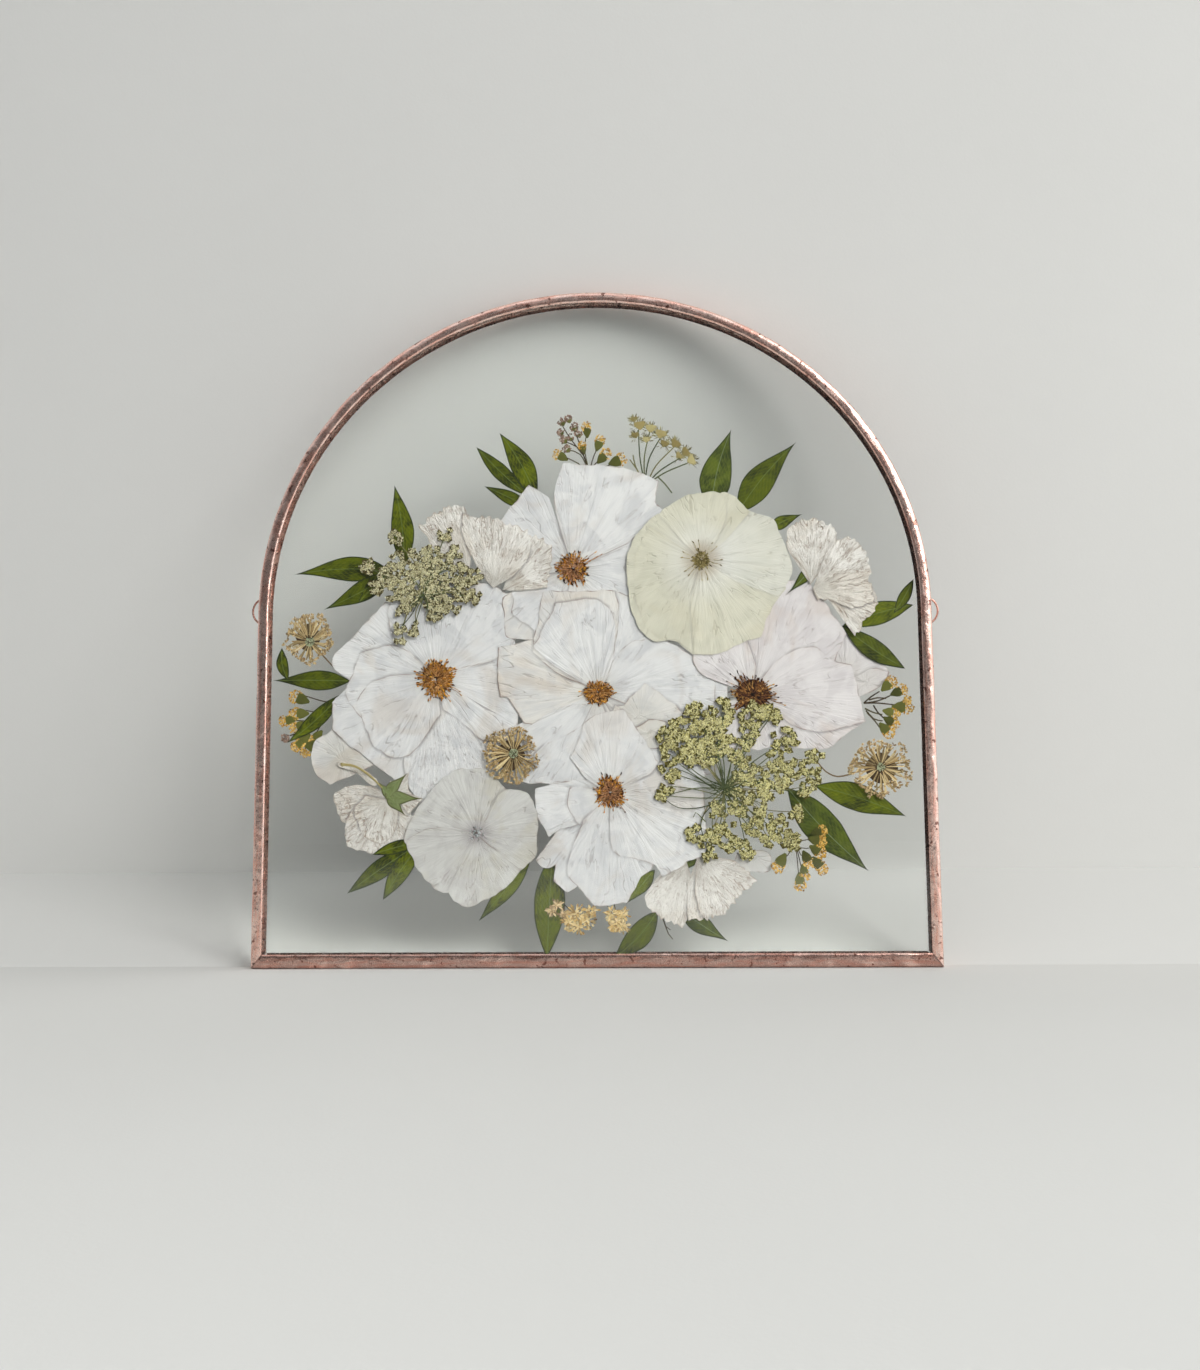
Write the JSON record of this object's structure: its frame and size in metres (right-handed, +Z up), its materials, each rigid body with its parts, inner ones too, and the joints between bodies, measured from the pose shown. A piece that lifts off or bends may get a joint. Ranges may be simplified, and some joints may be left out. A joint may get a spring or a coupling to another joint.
{
  "type": "pressed flower frame",
  "caption": "Arched copper-rimmed double glass frame with dried flowers, leaves, umbels and seed heads pressed between its panes.",
  "frame": {"origin": "middle of the underside of the bottom rail, which is the bottom centre of the whole", "axes": "+Z up the frame, +X to the right seen from the front, the front pane faces -Y"},
  "size_m": [0.287, 0.009, 0.283],
  "materials": {
    "copper_rim": "copper-plated solder bead, hammered, low sheen",
    "copper_ring": "darkened copper wire",
    "pane_glass": "clear picture glass, faintly green",
    "white_petal": "dry, thin, matt",
    "cream_petal": "dry, thin, matt",
    "blush_petal": "dry, thin, crumpled, brown at the edges",
    "green_leaf": "dry leaf, slight sheen",
    "grey_leaf": "dry leaf, matt, grey-green",
    "lace": "dry florets, matt",
    "straw": "dry fibres, matt",
    "yellow_bud": "dry buds, matt",
    "brown_twig": "dry twig, matt"
  },
  "bodies": {
    "root": {"rim_arch_rail": "copper_rim", "rim_bottom_rail": "copper_rim", "hanging_ring_left": "copper_ring", "hanging_ring_right": "copper_ring", "glass_front": "pane_glass", "glass_back": "pane_glass", "white_flower_top": "white_petal", "white_flower_left": "white_petal", "white_flower_middle": "white_petal", "white_flower_right": "blush_petal", "white_flower_bottom": "white_petal", "cream_flower": "cream_petal", "pale_round_flower": "white_petal", "ruffled_flower_upper_left": "blush_petal", "ruffled_flower_right": "blush_petal", "ruffled_flower_bottom": "blush_petal", "bud_flower_lower_left": "blush_petal", "loose_petal_left": "blush_petal", "loose_petal_right": "blush_petal", "loose_petal_bottom": "cream_petal", "small_flower_bottom_left": "straw", "small_flower_bottom_right": "straw", "lace_umbel_left": "lace", "lace_umbel_right": "lace", "green_umbel_top": "lace", "seed_head_left": "straw", "seed_head_centre": "straw", "seed_head_right": "straw", "yellow_bud_sprig_left": "yellow_bud", "yellow_bud_sprig_right": "yellow_bud", "yellow_bud_sprig_lower_right": "yellow_bud", "yellow_bud_sprig_top": "yellow_bud", "twig_bottom": "brown_twig", "leaf_sprig_top_left": "green_leaf", "leaf_top_left": "green_leaf", "leaf_sprig_left_upper": "green_leaf", "leaf_sprig_left_middle": "green_leaf", "leaf_left_lower": "green_leaf", "leaf_sprig_lower_left": "green_leaf", "leaf_bottom_left": "green_leaf", "leaf_bottom_middle": "green_leaf", "leaf_bottom_right": "green_leaf", "leaf_bottom_behind": "green_leaf", "leaf_bottom_far_right": "grey_leaf", "leaf_grey_behind": "grey_leaf", "leaf_right_upper": "green_leaf", "leaf_right_lower": "grey_leaf", "leaf_small_right_top": "green_leaf", "leaf_top_right_grey": "grey_leaf", "leaf_top_right_green": "green_leaf", "leaf_sprig_right": "green_leaf", "leaf_small_grey": "grey_leaf"}
  },
  "joints": []
}
